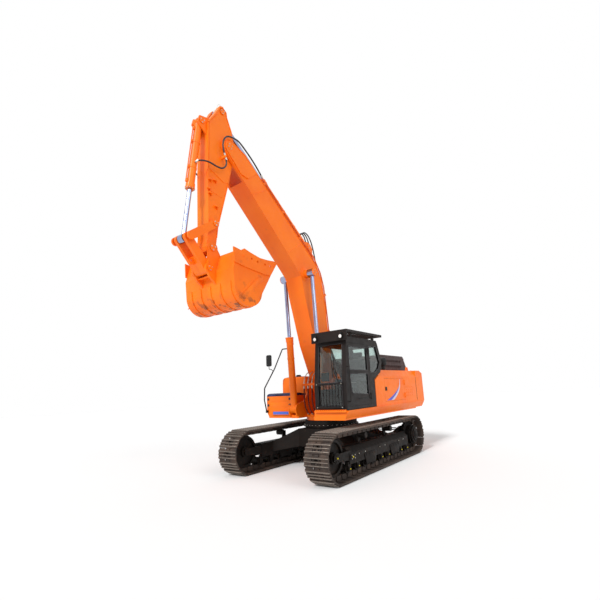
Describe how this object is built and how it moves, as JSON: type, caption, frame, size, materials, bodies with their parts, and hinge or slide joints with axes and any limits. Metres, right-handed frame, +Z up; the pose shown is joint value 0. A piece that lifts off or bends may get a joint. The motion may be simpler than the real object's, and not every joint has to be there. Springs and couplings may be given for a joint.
{
  "type": "crawler excavator",
  "caption": "Tracked hydraulic excavator with a bent box boom, an arm and a bucket raised in front, a cab on the left and a round counterweight behind.",
  "frame": {"origin": "the swing axis's foot on the ground that the tracks stand on", "axes": "+X forward along the tracks, towards the boom's side; +Y to the machine's left, where the cab is; +Z up, along the swing axis"},
  "size_m": [8.49, 3.19, 8.3154],
  "materials": {
    "orange_paint": "satin",
    "black_paint": "satin",
    "track_steel": "rough",
    "chrome_rod": "polished",
    "cab_paint": "satin",
    "window_glass": "clear",
    "hood_paint": "satin",
    "seat_cloth": "matte",
    "dark_plastic": "matte",
    "engine_metal": "rough",
    "navy_tread": "satin",
    "mirror_face": "matte"
  },
  "bodies": {
    "undercarriage": {"car_body": "black_paint", "slew_ring": "black_paint", "track_frame_left": "black_paint", "track_left": "track_steel", "idler_left": "black_paint", "final_drive_left": "black_paint", "bottom_rollers_left": "black_paint", "top_rollers_left": "black_paint", "track_frame_right": "black_paint", "track_right": "track_steel", "idler_right": "black_paint", "final_drive_right": "black_paint", "bottom_rollers_right": "black_paint", "top_rollers_right": "black_paint"},
    "upper": {"platform": "orange_paint", "counterweight": "orange_paint", "cab_shell": "cab_paint", "cab_glass": "window_glass", "cab_guard": "cab_paint", "front_guard": "cab_paint", "seat": "seat_cloth", "controls": "dark_plastic", "engine_housing": "orange_paint", "engine": "engine_metal", "fuel_tank": "orange_paint", "hydraulic_tank": "orange_paint", "toolbox": "orange_paint", "handrail": "black_paint", "mirror": "mirror_face", "work_lamps": "dark_plastic"},
    "cab_door": {"cab_door": "cab_paint", "door_glass": "window_glass"},
    "engine_hood": {"engine_hood": "hood_paint", "hood_grilles": "hood_paint"},
    "side_door_left": {"side_door_left": "orange_paint"},
    "pump_door_right": {"pump_door_right": "orange_paint"},
    "toolbox_lid": {"toolbox_lid": "navy_tread"},
    "boom": {"boom": "orange_paint", "boom_pipes": "orange_paint"},
    "boom_cylinder_barrels": {"boom_cylinder_barrels": "orange_paint"},
    "boom_cylinder_rods": {"boom_cylinder_rods": "chrome_rod"},
    "arm_cylinder_barrel": {"arm_cylinder_barrel": "orange_paint"},
    "arm_cylinder_rod": {"arm_cylinder_rod": "chrome_rod"},
    "arm": {"arm": "orange_paint"},
    "bucket_cylinder_barrel": {"bucket_cylinder_barrel": "orange_paint"},
    "bucket_cylinder_rod": {"bucket_cylinder_rod": "chrome_rod"},
    "side_links": {"side_links": "orange_paint"},
    "power_link": {"power_link": "orange_paint"},
    "bucket": {"bucket": "orange_paint", "bucket_teeth": "track_steel"}
  },
  "joints": [
    {"name": "swing", "type": "hinge", "parent": "undercarriage", "child": "upper", "pos_m": [0, 0, 1.1353], "axis": [0, 0, 1], "continuous": true},
    {"name": "boom_raise", "type": "hinge", "parent": "upper", "child": "boom", "pos_m": [0.15, 0, 2], "axis": [0, -1, 0], "range_deg": [-91, 7.8]},
    {"name": "arm_crowd", "type": "hinge", "parent": "boom", "child": "arm", "pos_m": [3.85165, 0, 7.32597], "axis": [0, 1, 0], "range_deg": [-105, 10]},
    {"name": "bucket_curl", "type": "hinge", "parent": "arm", "child": "bucket", "pos_m": [4.26593, 0, 4.80985], "axis": [0, 1, 0], "range_deg": [-135, 12]},
    {"name": "boom_cylinder_swing", "type": "hinge", "parent": "upper", "child": "boom_cylinder_barrels", "pos_m": [1, 0, 1.45], "axis": [0, -1, 0], "range_deg": [-97.75, 9.29]},
    {"name": "boom_cylinder_stroke", "type": "slide", "parent": "boom_cylinder_barrels", "child": "boom_cylinder_rods", "axis": [0.059, 0, 0.9983], "range_m": [-1.3768, 0.1226]},
    {"name": "arm_cylinder_swing", "type": "hinge", "parent": "boom", "child": "arm_cylinder_barrel", "pos_m": [0.84577, 0, 5.83964], "axis": [0, -1, 0], "range_deg": [-1.24, 3.55]},
    {"name": "arm_cylinder_stroke", "type": "slide", "parent": "arm_cylinder_barrel", "child": "arm_cylinder_rod", "axis": [0.8016, 0, 0.5979], "range_m": [-1.4102, 0.1388]},
    {"name": "bucket_cylinder_swing", "type": "hinge", "parent": "arm", "child": "bucket_cylinder_barrel", "pos_m": [4.50368, 0, 7.67454], "axis": [0, -1, 0], "range_deg": [-1.26, 3.94]},
    {"name": "bucket_cylinder_stroke", "type": "slide", "parent": "bucket_cylinder_barrel", "child": "bucket_cylinder_rod", "axis": [0.1066, 0, -0.9943], "range_m": [-0.9242, 0.0867]},
    {"name": "side_link_swing", "type": "hinge", "parent": "arm", "child": "side_links", "pos_m": [4.23195, 0, 5.33633], "axis": [0, -1, 0], "range_deg": [-8.37, 83.94]},
    {"name": "power_link_swing", "type": "hinge", "parent": "bucket", "child": "power_link", "pos_m": [4.32593, 0, 4.36685], "axis": [0, -1, 0], "range_deg": [-105.94, 10.33]},
    {"name": "cab_door_swing", "type": "hinge", "parent": "upper", "child": "cab_door", "pos_m": [0.38, 1.495, 2.25], "axis": [0, 0, 1], "range_deg": [0, 160]},
    {"name": "hood_lift", "type": "hinge", "parent": "upper", "child": "engine_hood", "pos_m": [-1.31, 0, 2.362], "axis": [0, 1, 0], "range_deg": [0, 60]},
    {"name": "side_door_left_swing", "type": "hinge", "parent": "upper", "child": "side_door_left", "pos_m": [-1.71, 1.495, 1.82], "axis": [0, 0, 1], "range_deg": [0, 110]},
    {"name": "pump_door_right_swing", "type": "hinge", "parent": "upper", "child": "pump_door_right", "pos_m": [-2.49, -1.495, 1.82], "axis": [0, 0, -1], "range_deg": [0, 110]},
    {"name": "toolbox_lid_lift", "type": "hinge", "parent": "upper", "child": "toolbox_lid", "pos_m": [0.282, -1.04, 1.825], "axis": [0, -1, 0], "range_deg": [0, 85]}
  ],
  "couplings": [
    {"joint": "boom_cylinder_swing", "follows": "boom_raise", "ratio": 1.0632},
    {"joint": "boom_cylinder_stroke", "follows": "boom_raise", "m_per_rad": 0.8637},
    {"joint": "arm_cylinder_swing", "follows": "arm_crowd", "ratio": -0.0243},
    {"joint": "arm_cylinder_stroke", "follows": "arm_crowd", "m_per_rad": 0.7668},
    {"joint": "bucket_cylinder_swing", "follows": "bucket_curl", "ratio": -0.0218},
    {"joint": "bucket_cylinder_stroke", "follows": "bucket_curl", "m_per_rad": 0.3901},
    {"joint": "side_link_swing", "follows": "bucket_curl", "ratio": -0.6144},
    {"joint": "power_link_swing", "follows": "bucket_curl", "ratio": 0.7773}
  ]
}
